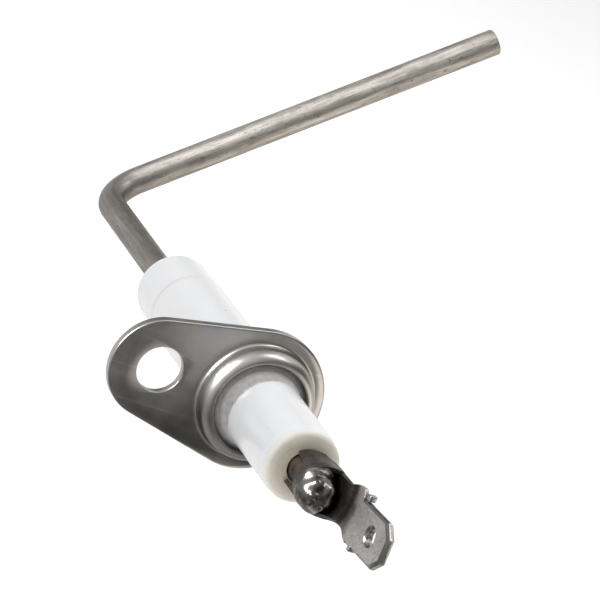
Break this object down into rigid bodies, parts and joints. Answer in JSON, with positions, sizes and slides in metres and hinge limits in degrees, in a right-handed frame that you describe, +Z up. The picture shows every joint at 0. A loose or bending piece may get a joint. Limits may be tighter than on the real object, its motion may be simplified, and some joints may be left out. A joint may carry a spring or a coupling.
{
  "type": "flame sensor probe",
  "caption": "Flame sensor probe: bent metal rod in a white ceramic insulator with a stamped screw flange and a tab terminal.",
  "frame": {"origin": "on the flange's flat mounting face, between the insulator and the screw hole, 7 mm from the insulator's axis", "axes": "+Y points out of the mounting face along the insulator's axis, towards the rod's bend; the terminal is at -Y; the screw hole lies towards -X; +Z is up"},
  "size_m": [0.0526, 0.0907, 0.0407],
  "materials": {
    "stamped_steel": "satin stamped stainless steel",
    "ring_steel": "plain stamped steel",
    "rod_alloy": "matt drawn heat-resistant wire",
    "glazed_ceramic": "white glaze, unglazed at the terminal end",
    "ceramic_cement": "dull brown cement",
    "terminal_steel": "satin plated steel",
    "weld_metal": "bright solidified metal"
  },
  "bodies": {
    "root": {"mounting_flange": "stamped_steel", "retaining_ring": "ring_steel", "flame_rod": "rod_alloy", "insulator": "glazed_ceramic", "bore_cement": "ceramic_cement", "tab_terminal": "terminal_steel", "weld_bead": "weld_metal"}
  },
  "joints": []
}
